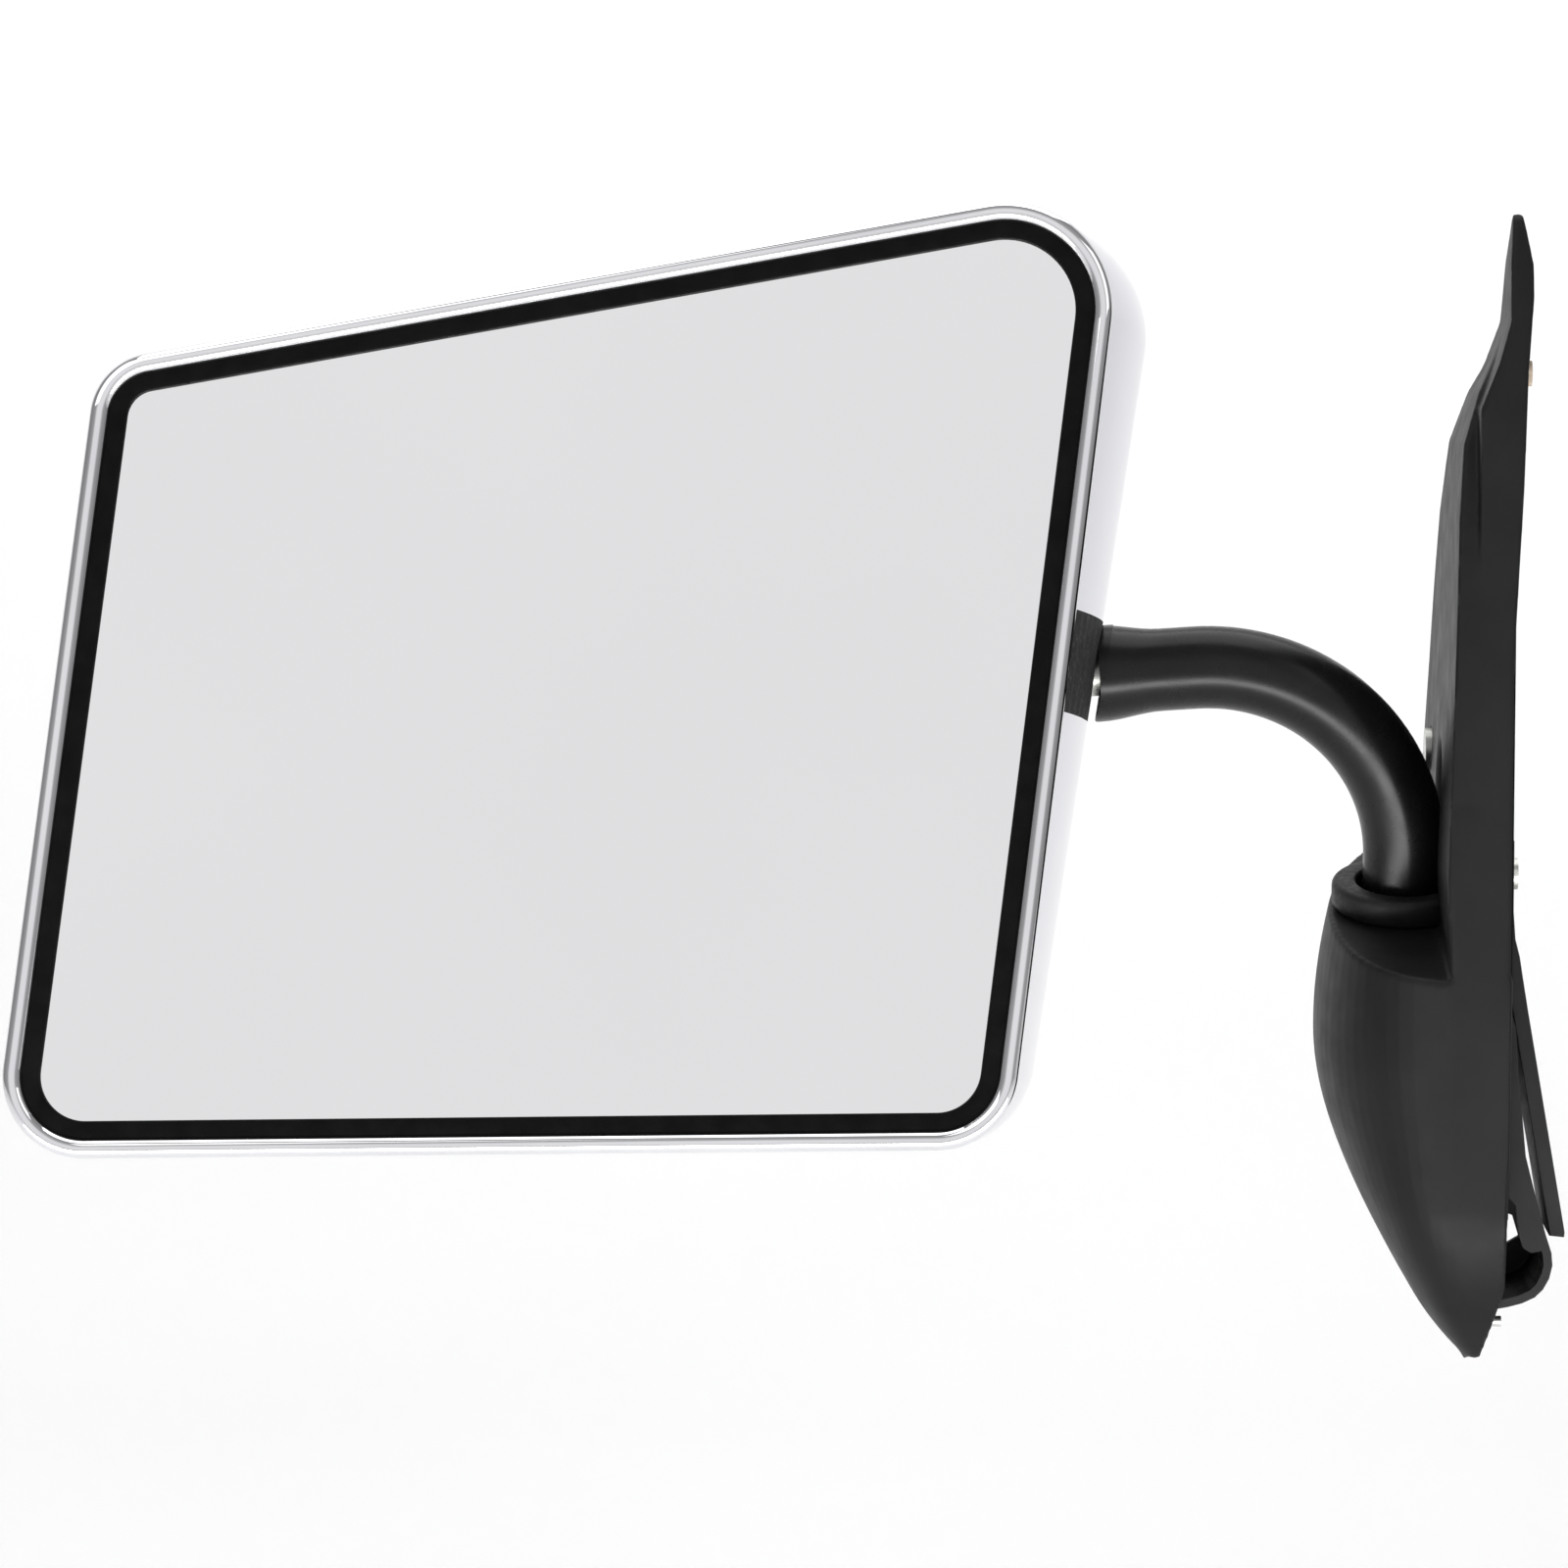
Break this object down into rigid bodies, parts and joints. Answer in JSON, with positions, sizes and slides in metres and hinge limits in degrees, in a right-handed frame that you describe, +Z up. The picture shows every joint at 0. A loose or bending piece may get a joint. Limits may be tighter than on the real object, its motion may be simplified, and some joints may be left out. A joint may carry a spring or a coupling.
{
  "type": "car side mirror",
  "caption": "Door mirror with a chromed head on a bent tube arm, carried by a hollow sail-shaped base; the arm folds and the head swivels on a ball.",
  "frame": {"origin": "on the base's pad face that meets the door, where the level of the fold pivot's ring meets it", "axes": "+Z up, +X from the mirror head towards the door, +Y the way the car drives, so the glass faces -Y"},
  "size_m": [0.3108, 0.1277, 0.231],
  "materials": {
    "chrome": "bright chrome plate over a thin shell",
    "chrome_trim": "bright chrome plate on the rim",
    "mirror": "silvered on its back face, polished",
    "gasket_rubber": "matt black",
    "grommet_rubber": "matt black, finely grained",
    "ring_rubber": "black, slightly worn",
    "foam": "pale closed-cell foam",
    "nylon": "natural nylon",
    "fibre": "woven fibre resin",
    "plated_steel": "zinc-plated pressing",
    "zinc": "bright zinc plate",
    "spring_steel": "dark spring steel",
    "cast_zinc": "plain die casting",
    "arm_paint": "black, semi-gloss",
    "bracket_paint": "black, satin",
    "cover_plastic": "black, satin moulding"
  },
  "bodies": {
    "base": {"base_cover": "cover_plastic", "base_gasket": "gasket_rubber", "base_frame": "plated_steel", "pivot_housing": "cast_zinc", "upper_bushing": "nylon", "lower_bushing": "nylon", "pivot_ring": "ring_rubber", "weld_nuts": "zinc", "housing_rivets": "zinc", "cover_screws": "zinc", "door_strap": "bracket_paint", "door_tongue": "bracket_paint", "strap_rivets": "zinc", "lower_screw": "zinc", "leaf_pad": "foam", "access_cap": "plated_steel"},
    "arm": {"arm_tube": "arm_paint", "ball_stud": "plated_steel", "pivot_stud": "plated_steel", "stud_pin": "zinc", "friction_washer": "fibre", "thrust_washer": "zinc", "disc_springs": "spring_steel", "spring_seat": "zinc", "lock_nut": "zinc"},
    "ball_liner": {"ball_liners": "nylon"},
    "head": {"head_shell": "chrome", "head_bezel": "chrome_trim", "mirror_glass": "mirror", "glass_gasket": "gasket_rubber", "glass_pad": "foam", "backing_plate": "plated_steel", "support_frame": "plated_steel", "socket_plate": "plated_steel", "clamp_plate": "plated_steel", "clamp_bolts": "zinc", "clamp_disc_springs": "spring_steel", "clamp_nuts": "zinc", "frame_screws": "zinc", "shell_grommet": "grommet_rubber"}
  },
  "joints": [
    {"name": "arm_fold", "type": "hinge", "parent": "base", "child": "arm", "pos_m": [-0.019, 0, 0], "axis": [0, -0.2419, 0.9703], "range_deg": [-60, 60]},
    {"name": "head_tilt", "type": "hinge", "parent": "arm", "child": "ball_liner", "pos_m": [-0.10269, -0.01049, 0.04206], "axis": [1, 0, 0], "range_deg": [-10, 10]},
    {"name": "head_pan", "type": "hinge", "parent": "ball_liner", "child": "head", "pos_m": [-0.10269, -0.01049, 0.04206], "axis": [0, 0.1392, 0.9903], "range_deg": [-6, 6]}
  ]
}
